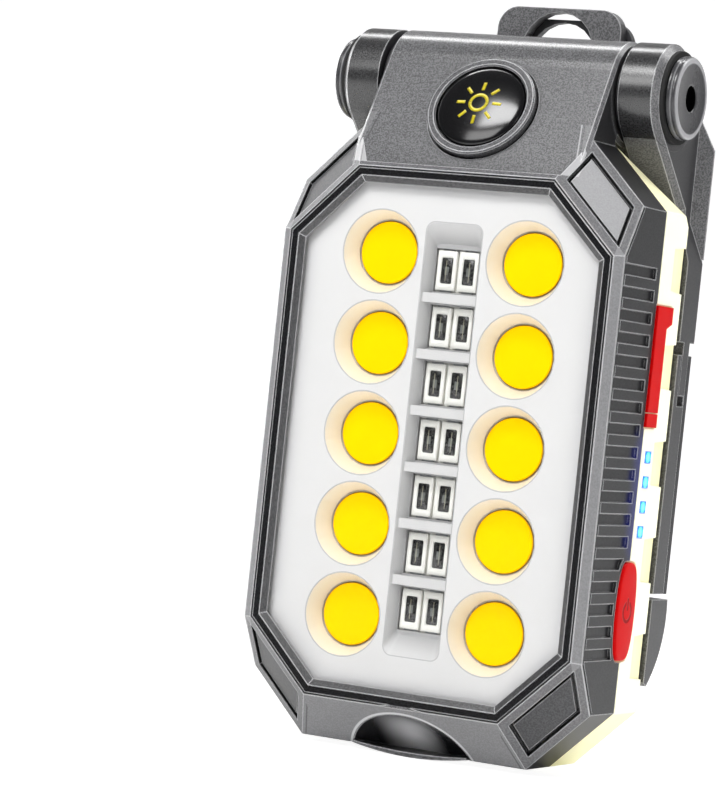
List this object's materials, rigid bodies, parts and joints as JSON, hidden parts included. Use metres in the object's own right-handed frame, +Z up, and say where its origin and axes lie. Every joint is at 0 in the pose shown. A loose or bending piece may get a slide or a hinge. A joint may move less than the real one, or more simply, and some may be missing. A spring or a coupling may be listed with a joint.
{
  "type": "folding work light",
  "caption": "Flat octagonal pocket lamp head with cup-shaped light cells, hinged at its top to a fold-out stand with a swing-out hanging hook.",
  "frame": {"origin": "centre of the bounding box's bottom, level with the lip under the scoop at the lamp head's lower edge", "axes": "+Z up to the hinge and hanging eye, +Y towards the back of the stand, +X to the side with the power button; the lit face looks to -Y"},
  "size_m": [0.0548, 0.0328, 0.1111],
  "materials": {
    "shell_graphite": "fine speckled matt, textured front band",
    "stand_graphite": "fine speckled matt",
    "casing_cream": "satin, slightly luminous cream",
    "dark_plastic": "matt",
    "clear_plastic": "clear polished",
    "reflector_white": "white satin reflector",
    "led_phosphor": "yellow phosphor gel",
    "board_white": "white solder mask",
    "board_green": "green solder mask",
    "battery_foil": "shrink-wrapped foil pouch",
    "foam": "matt closed-cell foam",
    "wire_red": "insulated wire",
    "wire_black": "insulated wire",
    "red_rubber": "satin rubber",
    "light_guide_blue": "clear blue-lit windows",
    "gloss_black": "polished",
    "steel": "plated",
    "magnet": "nickel-plated"
  },
  "bodies": {
    "head": {"front_shell": "shell_graphite", "badge_ring": "shell_graphite", "rear_casing": "casing_cream", "battery_tray": "dark_plastic", "tactile_switch": "dark_plastic", "friction_washer_left": "dark_plastic", "friction_washer_right": "dark_plastic", "front_lens": "clear_plastic", "reflector_panel": "reflector_white", "cob_emitter_1": "led_phosphor", "cob_emitter_2": "led_phosphor", "cob_emitter_3": "led_phosphor", "cob_emitter_4": "led_phosphor", "cob_emitter_5": "led_phosphor", "cob_emitter_6": "led_phosphor", "cob_emitter_7": "led_phosphor", "cob_emitter_8": "led_phosphor", "cob_emitter_9": "led_phosphor", "cob_emitter_10": "led_phosphor", "led_board": "board_white", "warning_led_strip": "board_white", "control_board": "board_green", "battery_cell": "battery_foil", "battery_pad": "foam", "battery_lead_red": "wire_red", "battery_lead_black": "wire_black", "flap_root": "red_rubber", "indicator_guide": "light_guide_blue", "badge_dome": "gloss_black", "charge_socket": "steel", "case_screw_1": "steel", "case_screw_2": "steel", "case_screw_3": "steel", "case_screw_4": "steel"},
    "stand": {"stand_frame": "stand_graphite", "stand_back_cover": "dark_plastic", "stand_foot": "stand_graphite", "stand_magnet_1": "magnet", "stand_magnet_2": "magnet", "cover_screw_1": "steel", "cover_screw_2": "steel", "cover_screw_3": "steel", "cover_screw_4": "steel", "foot_screw_1": "steel", "foot_screw_2": "steel", "hinge_shaft": "steel", "seal_washer_left": "foam", "seal_washer_right": "foam", "hinge_cap_left": "shell_graphite", "hinge_cap_right": "shell_graphite", "hook_pin": "steel"},
    "hook": {"hook_plate": "stand_graphite", "hook_grip": "dark_plastic"},
    "power_button": {"power_button": "red_rubber"},
    "port_flap": {"port_flap": "red_rubber"}
  },
  "joints": [
    {"name": "stand_hinge", "type": "hinge", "parent": "head", "child": "stand", "pos_m": [0, 0.00118, 0.0976], "axis": [1, 0, 0], "range_deg": [0, 150]},
    {"name": "hook_swing", "type": "hinge", "parent": "stand", "child": "hook", "pos_m": [0, 0.01402, 0.06225], "axis": [-1, 0, 0], "range_deg": [0, 175]},
    {"name": "button_press", "type": "slide", "parent": "head", "child": "power_button", "axis": [-1, 0, 0], "range_m": [0, 0.0006]},
    {"name": "flap_hinge", "type": "hinge", "parent": "head", "child": "port_flap", "pos_m": [0.02735, -0.00082, 0.0525], "axis": [0, 1, 0], "range_deg": [0, 110]}
  ]
}
